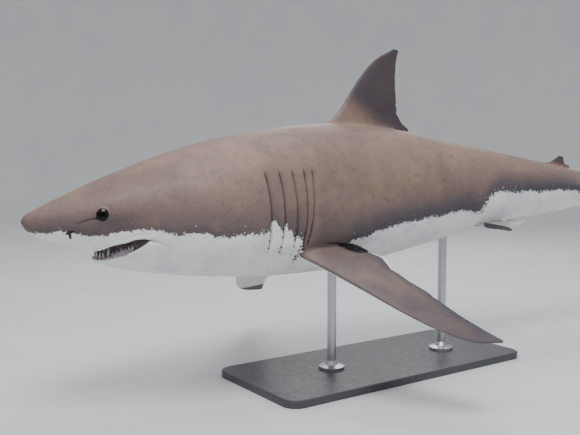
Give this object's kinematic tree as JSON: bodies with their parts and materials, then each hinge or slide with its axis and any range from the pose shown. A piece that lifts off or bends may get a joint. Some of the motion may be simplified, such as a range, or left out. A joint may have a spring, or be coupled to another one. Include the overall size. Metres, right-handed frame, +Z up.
{
  "type": "great white shark, still life-size display model on a stand",
  "caption": "Young male great white shark swimming slowly with its jaw slightly open and its tail swung aside, held level by two rods on a flat base.",
  "frame": {"origin": "middle of the underside of the stand's base, on the floor", "axes": "+Z up; the shark's nose points towards -X and its tail towards +X; its left side faces -Y and its right side +Y"},
  "size_m": [3.4465, 1.5752, 1.3918],
  "materials": {
    "skin": "smooth fine-grained skin, warm slate grey above and white below, slightly wet",
    "eye": "glossy black eyeball",
    "stand_base": "satin dark grey paint",
    "stand_rod": "brushed steel"
  },
  "bodies": {
    "root": {"head": "skin", "lower_jaw": "skin", "gill_region": "skin", "trunk": "skin", "tail_stalk": "skin", "first_dorsal_fin": "skin", "second_dorsal_fin": "skin", "anal_fin": "skin", "pectoral_fin_left": "skin", "pectoral_fin_right": "skin", "pelvic_fin_left": "skin", "pelvic_fin_right": "skin", "clasper_left": "skin", "clasper_right": "skin", "tail_fin_upper_lobe": "skin", "tail_fin_lower_lobe": "skin", "eye_left": "eye", "eye_right": "eye", "stand_base": "stand_base", "stand_rod_front": "stand_rod", "stand_rod_rear": "stand_rod"}
  },
  "joints": []
}
